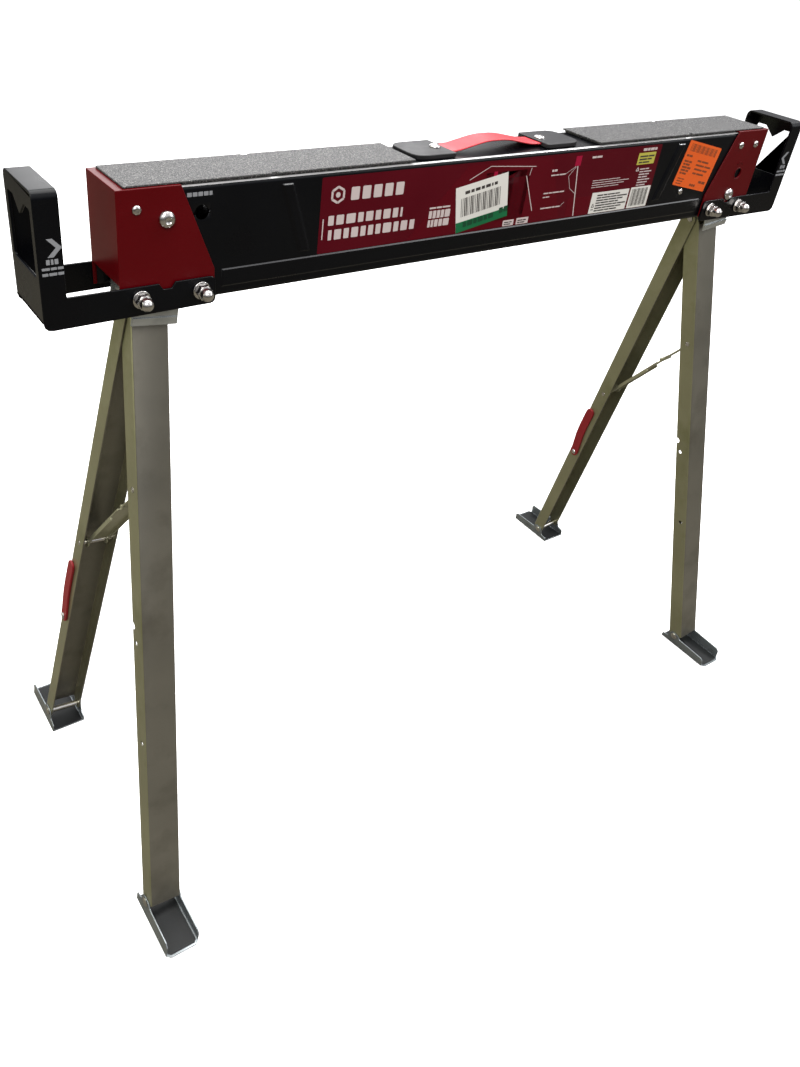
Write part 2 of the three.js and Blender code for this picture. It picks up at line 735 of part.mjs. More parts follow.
for (const [name, { side, inset, z }] of sides) {
  const spread = (z - SPREAD_Z) / Math.cos(LEAN);
  const pair = new THREE.Group();
  pair.position.set(inward(side, inset), 0, z);
  pair.rotation.y = -side * LEAN;
  sawhorse.add(pair);
  const pin = add(sawhorse, `fold_pin_${name}`, foldPin(), "bright");
  pin.position.set(inward(side, inset), 0, z);
  add(pair, `hanger_${name}`, hanger(spread), "zinc");

  const fork = new THREE.Group();
  fork.position.z = -spread;
  pair.add(fork);
  add(fork, `spread_pin_${name}`, crossPin(4, BACK_LEG.half + 0.8), "bright");

  for (const [faceName, face] of Object.entries(bothFaces)) {
    const size = face < 0 ? FRONT_LEG : BACK_LEG;
    const holes = [
      [0, 0, 4, [-60, 60]],
      [0, LEG, 4, [-60, 60]],
    ];
    if (face > 0) {
      holes.push([LINK_INSET, LOWER_LINK_AT, 3, [-60, 60]]);
      holes.push([PEG_INSET, PEG_AT, 3, [-60, 0]]);
    } else {
      holes.push([LINK_INSET, UPPER_LINK_AT, 3, [-60, 60]]);
      holes.push([-9.7, LOWER_LINK_AT, 4, [-60, 60]]); // notch for the other leg's link pin
      holes.push([-3.5, LOWER_LINK_AT + 18, 2.5, [-60, 60]]);
      holes.push([2.5, PEG_AT, 2.5, [-60, 60]]);
    }
    const swung = new THREE.Group(); // the front leg is the back leg turned half round
    swung.rotation.order = "ZXY";
    swung.rotation.z = face < 0 ? Math.PI : 0;
    swung.rotation.x = SPLAY;
    fork.add(swung);
    const reversed = face < 0 ? -1 : 1;
    const flipped = holes.map(([y, s, radius, [from, to]]) => [
      y,
      s,
      radius,
      span(reversed * from, reversed * to),
    ]);
    add(swung, `${faceName}_leg_${name}`, leg(size, flipped), "zinc");

    const ankle = new THREE.Group();
    ankle.position.z = -LEG;
    ankle.rotation.x = -SPLAY;
    swung.add(ankle);
    const cheek = size.half + 0.5 + SHEET;
    add(ankle, `${faceName}_foot_${name}`, foot(cheek, reversed * side * LEAN), "zinc");
    add(ankle, `${faceName}_foot_mat_${name}`, footMat(cheek, reversed * side * LEAN), "rubber");
    add(ankle, `${faceName}_foot_pin_${name}`, crossPin(4, cheek, 6), "bright");
  }

  const toUpper = Math.hypot(middleJoint[0] - upperPin[0], middleJoint[1] - upperPin[1]);
  const toLower = Math.hypot(middleJoint[0] - lowerPin[0], middleJoint[1] - lowerPin[1]);
  const lower = new THREE.Group();
  lower.position.set(0, ...lowerPin);
  lower.rotation.x = Math.atan2(-(middleJoint[0] - lowerPin[0]), middleJoint[1] - lowerPin[1]);
  fork.add(lower);
  add(lower, `lower_link_${name}`, lowerLink(toLower - 7), "zinc");
  add(lower, `lower_link_pin_${name}`, crossPin(3, BACK_LEG.half), "bright");
  const upper = new THREE.Group();
  upper.position.set(0, ...upperPin);
  upper.rotation.x = Math.atan2(middleJoint[0] - upperPin[0], upperPin[1] - middleJoint[1]);
  fork.add(upper);
  add(upper, `upper_link_${name}`, upperLink(toUpper), "zinc");
  add(upper, `upper_link_pin_${name}`, crossPin(3, FRONT_LEG.half), "bright");

  const [pegY, pegZ] = onLeg(1, PEG_AT, PEG_INSET);
  const peg = new THREE.Group();
  peg.position.set(-BACK_LEG.half - GAP, pegY, pegZ);
  peg.rotation.x = SPLAY;
  fork.add(peg);
  add(peg, `shelf_peg_${name}`, shelfPeg(), "red");
  const rivet = turned([
    [0, -2],
    [3, -2],
    [3, 3 + GAP],
    [4.6, 3 + GAP],
    [3.6, 4.6],
    [0, 5],
  ]).rotate([0, 0, 90]);
  add(peg, `peg_rivet_${name}`, rivet, "bright");
}

export default sawhorse;
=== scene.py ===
"""The looks of a folding steel sawhorse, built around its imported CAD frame.

Lengths in the drawing code are millimetres; meshes are scaled to metres as they are published.
"""

import json
import math

import bmesh
import bpy
from mathutils import Matrix, Vector
from mathutils.bvhtree import BVHTree

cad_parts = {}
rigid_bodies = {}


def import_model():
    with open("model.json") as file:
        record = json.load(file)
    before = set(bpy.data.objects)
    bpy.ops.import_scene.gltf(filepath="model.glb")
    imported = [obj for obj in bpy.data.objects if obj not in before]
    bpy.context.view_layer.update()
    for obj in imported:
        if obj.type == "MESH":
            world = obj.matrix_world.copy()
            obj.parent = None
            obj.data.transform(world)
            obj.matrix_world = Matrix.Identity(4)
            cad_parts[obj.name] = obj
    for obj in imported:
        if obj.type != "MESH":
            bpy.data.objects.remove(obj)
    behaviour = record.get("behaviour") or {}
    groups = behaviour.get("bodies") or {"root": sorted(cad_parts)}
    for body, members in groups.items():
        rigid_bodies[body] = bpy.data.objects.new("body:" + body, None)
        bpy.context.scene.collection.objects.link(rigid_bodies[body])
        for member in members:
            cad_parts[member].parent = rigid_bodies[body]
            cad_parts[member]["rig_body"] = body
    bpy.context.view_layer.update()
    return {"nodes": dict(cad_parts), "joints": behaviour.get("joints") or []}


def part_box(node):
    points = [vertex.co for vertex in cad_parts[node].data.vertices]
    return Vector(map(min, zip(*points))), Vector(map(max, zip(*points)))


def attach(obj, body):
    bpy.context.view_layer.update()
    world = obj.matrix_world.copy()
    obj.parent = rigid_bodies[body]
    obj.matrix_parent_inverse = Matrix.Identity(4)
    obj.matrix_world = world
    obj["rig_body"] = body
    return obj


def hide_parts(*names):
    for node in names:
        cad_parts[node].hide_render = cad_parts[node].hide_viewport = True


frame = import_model()

MM = 0.001
SIDES = {"left": -1, "right": 1}
FACES = {"front": -1, "back": 1}
FACE = 31  # the beam's front and back faces stand this far from its middle
CAP_FACE = 33
ARM_FACE = 35.8
BEAM_TOP = 808
BEAM_BOTTOM = 705
BEAM_END = 438
BEAM_SHEET = 1.5
LEG_HALF = {"front": 18.5, "back": 20.5}  # half the width of a leg's channel, outside
LEG_DEPTH = 13.5  # half the depth of that channel, outside
LEG_SHEET = 1.5
SMOOTH_BELOW = math.radians(48)  # faces that meet at a smaller angle are shaded as one surface


# ---------- camera ----------
def make_camera():
    """A portrait view from the front left, looking down on the beam; slightly tilted."""
    data = bpy.data.cameras.new("camera")
    data.sensor_fit = "AUTO"
    data.sensor_width = 36
    data.lens = 30.73
    data.shift_x = 0.0531
    data.shift_y = -0.03305
    data.clip_end = 60
    camera = bpy.data.objects.new("camera", data)
    camera.location = (-0.7145, -0.746, 1.0516)
    camera.rotation_euler = [math.radians(angle) for angle in (54.539, -5.264, -33.381)]
    bpy.context.scene.collection.objects.link(camera)
    bpy.context.scene.camera = camera


# ---------- materials ----------
def srgb(red, green, blue):
    """A colour given as on a screen, 0 to 255, as the linear colour that shaders use."""
    parts = [value / 255 for value in (red, green, blue)]
    return [v / 12.92 if v <= 0.04045 else ((v + 0.055) / 1.055) ** 2.4 for v in parts] + [1]


class Look:
    """A procedural material; its textures are laid out in each piece's own frame, in metres."""

    def __init__(self, name, **settings):
        self.material = bpy.data.materials.new(name)
        self.material.use_nodes = True
        self.tree = self.material.node_tree
        self.shader = next(n for n in self.tree.nodes if n.type == "BSDF_PRINCIPLED")
        for socket, value in settings.items():
            self.shader.inputs[socket.replace("_", " ")].default_value = value
        self.place = self.node("TexCoord").outputs["Object"]

    def node(self, kind, sockets=(), **properties):
        made = self.tree.nodes.new("ShaderNode" + kind)
        for key, value in properties.items():
            setattr(made, key, value)
        for key, value in dict(sockets).items():
            if isinstance(value, bpy.types.NodeSocket):
                self.tree.links.new(value, made.inputs[key])
            else:
                made.inputs[key].default_value = value
        return made

    def stretched(self, x, y, z):
        return self.node("Mapping", {"Vector": self.place, "Scale": (x, y, z)}).outputs[0]

    def noise(self, scale, detail=3, roughness=0.55, place=None):
        sockets = {"Vector": place or self.place, "Scale": scale}
        sockets.update({"Detail": detail, "Roughness": roughness})
        return self.node("TexNoise", sockets).outputs["Fac"]

    def cells(self, scale):
        return self.node("TexVoronoi", {"Vector": self.place, "Scale": scale}).outputs["Distance"]

    def ramp(self, value, *stops):
        made = self.node("ValToRGB", {"Fac": value})
        points = made.color_ramp.elements
        while len(points) < len(stops):
            points.new(0.5)
        for point, (position, colour) in zip(points, stops):
            point.position = position
            point.color = colour if len(colour) == 4 else [*colour, 1]
        return made.outputs["Color"]

    def blend(self, value, first, second, mode="MIX"):
        """A colour mix, whose factor and two colours are the node's inputs 0, 6 and 7."""
        made = self.node("Mix", data_type="RGBA", blend_type=mode)
        for index, source in ((0, value), (6, first), (7, second)):
            if isinstance(source, bpy.types.NodeSocket):
                self.tree.links.new(source, made.inputs[index])
            else:
                made.inputs[index].default_value = source
        return made.outputs[2]

    def between(self, value, low, high, start=0.0, end=1.0):
        sockets = {"Value": value, "From Min": start, "From Max": end}
        sockets.update({"To Min": low, "To Max": high})
        return self.node("MapRange", sockets).outputs["Result"]

    def colour(self, source):
        self.tree.links.new(source, self.shader.inputs["Base Color"])

    def roughness(self, value, low, high, start=0.3, end=0.7):
        result = self.between(value, low, high, start, end)
        self.tree.links.new(result, self.shader.inputs["Roughness"])

    def bump(self, *layers):
        """Each layer is a height texture and how far it stands out, in millimetres."""
        normal = None
        for height, distance in layers:
            sockets = {"Height": height, "Distance": distance * MM, "Strength": 1.0}
            if normal:
                sockets["Normal"] = normal
            normal = self.node("Bump", sockets).outputs["Normal"]
        self.tree.links.new(normal, self.shader.inputs["Normal"])


ORANGE_PEEL = 0.012


def painted(name, dark, light, rough, shine):
    """Powder coat: orange peel, a little unevenness of colour, and fine dust."""
    look = Look(name, IOR=1.5, Specular_IOR_Level=shine)
    cloudy = look.noise(9, 4)
    dust = look.ramp(look.noise(420, 2), (0.66, (0, 0, 0)), (0.76, (1, 1, 1)))
    base = look.blend(cloudy, dark, light)
    grey = [0.5 * part + 0.02 for part in light[:3]] + [1]
    look.colour(look.blend(look.between(dust, 0, 0.2), base, grey))
    look.roughness(cloudy, rough - 0.05, rough + 0.07)
    look.bump((look.noise(260, 2), ORANGE_PEEL), (look.noise(1400, 1), ORANGE_PEEL * 0.3))
    return look.material


def zinc(name, dark, light, green, rough=0.36):
    """Zinc-plated sheet: drawn lines along the piece, cloudy passivation and faint marks."""
    look = Look(name, Metallic=0.72)
    clouds = look.noise(7, 5, 0.6)
    drawn = look.noise(1, 3, 0.6, look.stretched(900, 900, 14))
    stains = look.ramp(look.noise(26, 4), (0.52, (0, 0, 0)), (0.74, (1, 1, 1)))
    base = look.blend(clouds, dark, light)
    base = look.blend(look.between(stains, 0, 0.5), base, green)
    base = look.blend(look.between(drawn, 0, 0.3), base, [0.02, 0.02, 0.018, 1], "SUBTRACT")
    look.colour(base)
    look.roughness(clouds, rough - 0.07, rough + 0.08)
    look.bump((drawn, 0.02), (look.noise(60, 2), 0.05))
    return look.material


def bright_metal(name, dark, light, rough):
    """Plated fasteners: fine turning marks and a soft tarnish."""
    look = Look(name, Metallic=1.0)
    tarnish = look.noise(160, 4)
    look.colour(look.blend(tarnish, dark, light))
    look.roughness(tarnish, rough * 0.7, rough * 1.5)
    look.bump((look.noise(1, 2, 0.5, look.stretched(300, 2600, 300)), 0.01))
    return look.material


def gritty(name):
    """Anti-slip strip: coarse mineral grains in grey resin, some of them glittering."""
    look = Look(name, Metallic=0.0)
    grains = look.cells(620)
    fine = look.noise(900, 2)
    worn = look.noise(14, 4)
    speckle = look.ramp(
        look.noise(720, 3, 0.7),
        (0.34, srgb(16, 16, 18)),
        (0.48, srgb(62, 62, 63)),
        (0.60, srgb(92, 91, 90)),
        (0.72, srgb(186, 186, 183)),
    )
    look.colour(look.blend(look.between(worn, 0.0, 0.35), speckle, srgb(52, 52, 54)))
    look.roughness(fine, 0.35, 0.8)
    look.bump((grains, 0.45), (fine, 0.2))
    return look.material


def plastic(name, dark, light, rough, shine=0.5):
    """Moulded plastic with a fine leathery grain."""
    look = Look(name, IOR=1.47, Specular_IOR_Level=shine)
    cloudy = look.noise(40, 3)
    look.colour(look.blend(cloudy, dark, light))
    look.roughness(cloudy, rough - 0.05, rough + 0.08)
    look.bump((look.noise(700, 3), 0.03))
    return look.material


def printed(name, dark, light, rough=0.36, shine=0.3):
    """Printed vinyl or paper: a faint screen of ink dots and slight waves in a varnish."""
    look = Look(name, Specular_IOR_Level=shine)
    dots = look.cells(1500)
    cloudy = look.noise(12, 3)
    tone = look.blend(cloudy, dark, light)
    look.colour(look.blend(look.between(dots, 0, 0.12), tone, light))
    look.roughness(cloudy, rough - 0.05, rough + 0.08)
    look.bump((look.noise(30, 2), 0.06), (dots, 0.004))
    return look.material


BLACK = painted("black powder coat", srgb(2, 3, 6), srgb(6, 7, 11), 0.28, 0.2)
# Glossier black for the pressed slopes, also painted lighter than the black coat: a painted
# highlight.
BLACK_EDGE_HIGHLIGHT = painted("black pressed edge, painted highlight", srgb(22, 22, 24), srgb(40, 40, 42), 0.2, 1.0)
# Painted highlight: a pale grey line for the beam's rolled top corners on black paint.
CORNER_HIGHLIGHT = painted("rolled corner, painted highlight", srgb(150, 150, 152), srgb(214, 214, 214), 0.3, 0.6)
RED = painted("red powder coat", srgb(72, 0, 4), srgb(92, 0, 8), 0.3, 0.2)
PEG_RED = painted("red peg paint", srgb(112, 12, 22), srgb(142, 22, 32), 0.4, 0.4)
WEB_ZINC = zinc("zinc web", srgb(112, 110, 102), srgb(140, 136, 124), srgb(102, 98, 88))
# Painted reflection: the same zinc made lighter and greener for faces that look sideways.
FLANGE_ZINC_GREEN_REFLECTION = zinc("zinc flange, painted green reflection", srgb(132, 131, 104), srgb(164, 161, 132), srgb(124, 125, 88))
FOOT_ZINC = zinc("zinc foot", srgb(112, 118, 120), srgb(168, 174, 178), srgb(88, 92, 92), 0.2)
HANGER_ZINC = zinc("zinc hanger", srgb(164, 168, 168), srgb(218, 222, 222), srgb(120, 124, 122), 0.24)
LINK_ZINC = zinc("zinc link", srgb(154, 154, 128), srgb(196, 194, 168), srgb(134, 136, 100))
BRIGHT = bright_metal("bright zinc", srgb(176, 172, 170), srgb(226, 224, 222), 0.18)
GRIT = gritty("grit strip")
STRAP = plastic("red strap", srgb(176, 34, 44), srgb(200, 52, 62), 0.38)
HANDLE_BLACK = plastic("black handle plastic", srgb(16, 16, 18), srgb(30, 30, 33), 0.42)
LABEL_RED = printed("label maroon", srgb(70, 0, 14), srgb(86, 2, 18), 0.36, 0.16)
LABEL_BRIGHT = printed("label bright red", srgb(74, 0, 12), srgb(92, 0, 18), 0.36, 0.16)
LABEL_DARK = printed("label dark zone", srgb(28, 8, 16), srgb(42, 10, 20))
PRINT_LIGHT = printed("light print", srgb(186, 172, 170), srgb(206, 194, 192))
PRINT_PAPER = printed("label paper", srgb(206, 204, 198), srgb(226, 224, 218), 0.5)
PRINT_GREY = printed("grey print", srgb(120, 122, 126), srgb(150, 152, 156), 0.45)
PRINT_DARK = printed("dark print", srgb(44, 40, 40), srgb(62, 56, 54), 0.45)
PRINT_RED = printed("red print", srgb(140, 0, 44), srgb(164, 4, 54))
PRINT_YELLOW = printed("yellow print", srgb(172, 166, 66), srgb(192, 186, 84))
PRINT_GREEN = printed("green band", srgb(12, 92, 54), srgb(18, 110, 64), 0.45)
PRINT_DARK_GREEN = printed("dark green print", srgb(12, 62, 38), srgb(14, 72, 44), 0.45)
PRINT_ORANGE = printed("orange paper", srgb(214, 84, 22), srgb(232, 100, 32), 0.5)
PRINT_BROWN = printed("brown print", srgb(110, 58, 30), srgb(128, 66, 34), 0.5)
RUBBER = plastic("black rubber mat", srgb(14, 15, 16), srgb(30, 32, 33), 0.42, 0.3)


# ---------- frames ----------
joints = {joint["name"]: joint for joint in frame["joints"]}
AT_REST = Matrix.Identity(4)


def pivot(joint):
    """Where a joint's axis passes, in metres."""
    return Vector(joints[joint]["pos_m"])


def upright_frame(origin, up, across):
    """A frame at a point, with Z along up and X as near to across as can be."""
    z = up.normalized()
    y = z.cross(across).normalized()
    x = y.cross(z)
    axes = Matrix((x, y, z)).transposed()
    return Matrix.Translation(origin) @ axes.to_4x4()


def leg_frame(face, side):
    """A leg's own frame: its spread pin at the origin, its foot straight below."""
    top = pivot(f"{face}_leg_spread_{side}")
    foot = pivot(f"{face}_foot_swing_{side}")
    across = Vector(joints[f"{face}_leg_spread_{side}"]["axis"])
    if across.x < 0:
        across.negate()
    return upright_frame(top, top - foot, across)


# ---------- meshes ----------
def publish(name, body, material, made, place=AT_REST, stands_for=()):
    """Turns a bmesh drawn in its own frame into a piece that rides on a CAD body."""
    mesh = bpy.data.meshes.new(name)
    made.transform(Matrix.Scale(MM, 4))
    made.to_mesh(mesh)
    made.free()
    for one in material if isinstance(material, (list, tuple)) else [material]:
        mesh.materials.append(one)
    for polygon in mesh.polygons:
        polygon.use_smooth = True
    mesh.set_sharp_from_angle(angle=SMOOTH_BELOW)
    piece = bpy.data.objects.new(name, mesh)
    bpy.context.scene.collection.objects.link(piece)
    piece.matrix_world = place
    flats = piece.modifiers.new("flats", "WEIGHTED_NORMAL")
    flats.keep_sharp = True
    flats.weight = 90
    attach(piece, body)
    if stands_for:
        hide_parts(*stands_for)
    return piece


NARROWEST_ROLL = 0.08


def roll_edges(made, width, segments=3, limit=35):
    """Rounds the edges sharper than the limit, less where a full roll would fold over itself."""
    skin = BVHTree.FromBMesh(made)
    while width > NARROWEST_ROLL:
        trial = made.copy()
        sharp = [
            edge
            for edge in trial.edges
            if len(edge.link_faces) == 2 and edge.calc_face_angle(0) > math.radians(limit)
        ]
        bmesh.ops.bevel(
            trial, geom=sharp, offset=width, segments=segments, profile=0.5, affect="EDGES"
        )
        if all(skin.find_nearest(vert.co)[3] < width for vert in trial.verts):
            made.free()
            return trial
        trial.free()
        width *= 0.6
    return made


def cad_copy(node, place=AT_REST, weld=0.02):
    """A CAD node's shape in a piece's frame, with the triangles of each flat face merged."""
    made = bmesh.new()
    made.from_mesh(frame["nodes"][node].data)
    made.transform(Matrix.Scale(1 / MM, 4) @ place.inverted())
    bmesh.ops.remove_doubles(made, verts=made.verts, dist=weld)
    bmesh.ops.dissolve_limit(
        made, angle_limit=math.radians(1.5), verts=made.verts, edges=made.edges
    )
    bmesh.ops.dissolve_degenerate(made, edges=made.edges, dist=weld)
    return made


def refined(node, material, width, weld=0.02):
    """A CAD node's own shape, with rolled sheet edges instead of knife edges."""
    made = roll_edges(cad_copy(node, weld=weld), width)
    body = frame["nodes"][node]["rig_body"]
    publish(f"{node}_shape", body, material, made, AT_REST, [node])


TURNED_SIDES = 48


def lathe(profile):
    """A turned bmesh about Z from [radius, height] points, closed at both ends."""
    made = bmesh.new()
    rings = []
    for radius, height in profile:
        if radius == 0:
            rings.append([made.verts.new((0, 0, height))])
            continue
        angles = [2 * math.pi * step / TURNED_SIDES for step in range(TURNED_SIDES)]
        ring = [made.verts.new((radius * math.cos(a), radius * math.sin(a), height)) for a in angles]
        rings.append(ring)
    for low, high in zip(rings, rings[1:]):
        for step in range(TURNED_SIDES):
            after = (step + 1) % TURNED_SIDES
            corners = [low[step % len(low)], low[after % len(low)]]
            corners += [high[after % len(high)], high[step % len(high)]]
            unique = list(dict.fromkeys(corners))
            if len(unique) > 2:
                made.faces.new(unique)
    bmesh.ops.recalc_face_normals(made, faces=made.faces)
    return made


def slab(outline, low, high, made=None):
    """A flat plate with the given [x, y] outline between two heights, added to made if given."""
    made = made or bmesh.new()
    bottom = [made.verts.new((x, y, low)) for x, y in outline]
    top = [made.verts.new((x, y, high)) for x, y in outline]
    faces = [made.faces.new(top), made.faces.new(list(reversed(bottom)))]
    count = len(outline)
    for step in range(count):
        after = (step + 1) % count
        faces.append(made.faces.new((bottom[step], bottom[after], top[after], top[step])))
    bmesh.ops.recalc_face_normals(made, faces=faces)
    return made


def arc(centre, radius, start, end, steps=8):
    """Points on a circle, with angles in degrees."""
    angles = [math.radians(start + (end - start) * step / steps) for step in range(steps + 1)]
    return [(centre[0] + radius * math.cos(a), centre[1] + radius * math.sin(a)) for a in angles]


def rounded_rectangle(x0, x1, y0, y1, radius, steps=6):
    """An outline that starts at the right and turns left, corner by corner."""
    corners = [(x1, y1, 0), (x0, y1, 90), (x0, y0, 180), (x1, y0, 270)]
    points = []
    for x, y, turn in corners:
        centre = (x - radius if x == x1 else x + radius, y - radius if y == y1 else y + radius)
        points += arc(centre, radius, turn, turn + 90, steps)
    return points


def joined(*parts):
    """Several bmeshes as one."""
    whole = bmesh.new()
    for part in parts:
        mesh = bpy.data.meshes.new("part")
        part.to_mesh(mesh)
        part.free()
        whole.from_mesh(mesh)
        bpy.data.meshes.remove(mesh)
    return whole


# ---------- beam ----------
def steps_between(runs):
    """Grid lines from [from, to, spacing] runs, without doubles."""
    found = set()
    for start, end, spacing in runs:
        count = max(1, round(abs(end - start) / spacing))
        found.update(round(start + (end - start) * step / count, 3) for step in range(count + 1))
    return sorted(found)


def smooth(value):
    """Eases from 0 to 1, and stays level outside them."""
    value = min(1.0, max(0.0, value))
    return value * value * (3 - 2 * value)


BEAD = {"low": 713, "high": 729, "end": 342, "height": 1.0, "slope": 1.2}
RIB = {"top": (276, 801), "foot": (254, 736), "half": 5.4, "height": 1.5, "slope": 1.4}
SIGHT_HOLE = {"x": -362, "z": 784, "radius": 6.5, "walls": [-1]}
THROUGH_HOLE = {"x": 299, "z": 742, "radius": 2.8, "walls": [-1, 1]}
HOLE_MARGIN = 2.5
CORNER_RADIUS = 4
HIGHLIGHT_LINE = (BEAM_TOP - 1.3, BEAM_TOP - 0.2)  # heights between which the top corners get a pale painted highlight line


def relief(x, z):
    """How far the pressed beam wall stands out at a point of a slanting rib or the long bead."""
    inside_bead = min(z - BEAD["low"], BEAD["high"] - z, BEAD["end"] - abs(x))
    out = BEAD["height"] * smooth(inside_bead / BEAD["slope"] + 0.5)
    (top_x, top_z), (foot_x, foot_z) = RIB["top"], RIB["foot"]
    along = (top_z - z) / (top_z - foot_z)
    middle = top_x + (foot_x - top_x) * along
    within = min(RIB["half"] - abs(abs(x) - middle), top_z - z, z - foot_z)
    return out + RIB["height"] * smooth(within / RIB["slope"] + 0.5)


def pierce(made, hole):
    """Opens a round hole in the walls; grid lines frame it at a small margin."""
    half = hole["radius"] + HOLE_MARGIN
    angles = [math.radians(step * 15) for step in range(24)]
    for wall in hole["walls"]:

        def near(point):
            away = max(abs(point.x - hole["x"]), abs(point.z - hole["z"]))
            return away < half + 0.01 and wall * point.y > FACE - 3

        patch = [face for face in made.faces if near(face.calc_center_median())]
        bmesh.ops.delete(made, geom=patch, context="FACES")
        frame_edges = [
            edge for edge in made.edges if edge.is_boundary and all(near(v.co) for v in edge.verts)
        ]
        ring = [
            made.verts.new(
                (
                    hole["x"] + hole["radius"] * math.cos(angle),
                    wall * FACE,
                    hole["z"] + hole["radius"] * math.sin(angle),
                )
            )
            for angle in angles
        ]
        rim = [made.edges.new((ring[step - 1], ring[step])) for step in range(len(ring))]
        bmesh.ops.bridge_loops(made, edges=frame_edges + rim)


def beam_section(heights):
    """Points [y, z, whether on a wall], up the front, over the rolled corners, down the back."""
    centre = (CORNER_RADIUS - FACE, BEAM_TOP - CORNER_RADIUS)
    corner = arc(centre, CORNER_RADIUS, 180, 90, 6)[1:]
    section = [(-FACE, z, True) for z in heights]
    section += [(y, z, False) for y, z in corner]
    section += [(y, BEAM_TOP, False) for y in (-15, 0, 15)]
    section += [(-y, z, False) for y, z in reversed(corner)]
    section += [(FACE, z, True) for z in reversed(heights)]
    return section


def beam_shell():
    """The outer skin of the channel, finely divided where its walls are pressed out."""
    xs = steps_between(
        [(-BEAM_END, BEAM_END, 8)]
        + [(side * 345, side * 338, 0.8) for side in SIDES.values()]
        + [(side * 285, side * 244, 0.9) for side in SIDES.values()]
    )
    heights = steps_between(
        [(BEAM_BOTTOM, 711, 3), (711, 715, 0.5), (715, 727, 3), (727, 731, 0.5), (731, 735, 2)]
        + [(735, 738, 0.5), (738, 799, 4), (799, 802, 0.5), (802, BEAM_TOP - CORNER_RADIUS, 1)]
    )
    for hole in (SIGHT_HOLE, THROUGH_HOLE):
        half = hole["radius"] + HOLE_MARGIN
        xs = sorted({*xs, hole["x"] - half, hole["x"] + half})
        heights = sorted({*heights, hole["z"] - half, hole["z"] + half})
    section = beam_section(heights)
    made = bmesh.new()
    columns = []
    for x in xs:
        column = []
        for y, z, wall in section:
            out = relief(x, z) if wall else 0
            column.append(made.verts.new((x, y + math.copysign(out, y) if out else y, z)))
        columns.append(column)
    for first, second in zip(columns, columns[1:]):
        for row in range(len(section) - 1):
            made.faces.new((first[row], second[row], second[row + 1], first[row + 1]))
    for hole in (SIGHT_HOLE, THROUGH_HOLE):
        pierce(made, hole)
    bmesh.ops.recalc_face_normals(made, faces=made.faces)
    made.normal_update()
    return made


def make_beam():
    """Level slopes of the pressed shapes are glossier and painted lighter, a painted highlight; the
    top corners get a pale painted highlight line.
    """
    made = beam_shell()
    for face in made.faces:
        centre = face.calc_center_median()
        # Slopes facing up or down are glossier, and painted lighter as a painted highlight.
        if abs(centre.y) > FACE and abs(face.normal.z) > 0.3 and abs(face.normal.x) < 0.1:
            face.material_index = 1
        # A thin band along the top corners gets the pale painted highlight.
        elif HIGHLIGHT_LINE[0] < centre.z < HIGHLIGHT_LINE[1]:
            face.material_index = 2
    coats = [BLACK, BLACK_EDGE_HIGHLIGHT, CORNER_HIGHLIGHT]
    piece = publish("beam_shape", "beam_assembly", coats, made, AT_REST, ["beam"])
    sheet = piece.modifiers.new("sheet", "SOLIDIFY")
    sheet.thickness = BEAM_SHEET * MM
    sheet.offset = -1
    sheet.use_even_offset = True


# ---------- turned pieces ----------
def facing(x, y, z):
    """A frame on the beam's front or back, with Z pointing away from the object."""
    turn = math.radians(90 if y < 0 else -90)
    return Matrix.Translation(Vector((x, y, z)) * MM) @ Matrix.Rotation(turn, 4, "X")


def middle_of(node):
    """The middle of a CAD node's box, in millimetres."""
    low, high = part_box(node)
    return (low + high) / 2 / MM


WASHER_TOP = 2.2
HEXAGON_TOP = 8.9
DOME_FOOT = 9.6
DOME_RADIUS = 5.9


def acorn_nut():
    """Washer, hexagon, collar and long round-ended dome of an acorn nut."""
    washer = lathe([[0, 0.3], [8.0, 0.3], [8.4, 0.7], [8.4, 1.7], [7.9, WASHER_TOP], [0, WASHER_TOP]])
    hexagon = roll_edges(slab(arc((0, 0), 7.4, 0, 300, 5), WASHER_TOP, HEXAGON_TOP), 0.5, 2)
    collar = lathe([[0, 8.6], [6.4, 8.6], [6.5, 9.3], [6.0, 9.8], [0, 9.8]])
    angles = [math.radians(step * 10) for step in range(9)]
    curve = [[DOME_RADIUS * math.cos(a), 13.0 + 5.7 * math.sin(a)] for a in angles]
    dome = lathe([[0, DOME_FOOT], [DOME_RADIUS, DOME_FOOT], *curve, [0, 18.7]])
    return joined(washer, hexagon, collar, dome)


def make_studs():
    for side in SIDES:
        for face, out in FACES.items():
            for place in ("outer", "inner"):
                node = f"arm_bolt_{side}_{face}_{place}"
                middle = middle_of(node)
                at = facing(middle.x, out * ARM_FACE, middle.z)
                publish(f"{node}_nut", "beam_assembly", BRIGHT, acorn_nut(), at, [node])


def dome_head(radius, height, dimple=0.2):
    """A rivet's dome; the dimple is the share of its radius that is sunk in the crown."""
    angles = [0.3, 0.6, 0.9, 1.15, 1.35]
    low = radius * 0.05
    crown = [[radius * math.cos(a), low + (height - low) * math.sin(a)] for a in angles]
    inner = radius * dimple
    crown = [point for point in crown if point[0] > inner * 1.15]
    sunk = [[inner, height * 0.86], [inner * 0.8, height * 0.7], [0, height * 0.66]]
    return lathe([[0, 0], [radius, 0], [radius, low], *crown, *sunk])


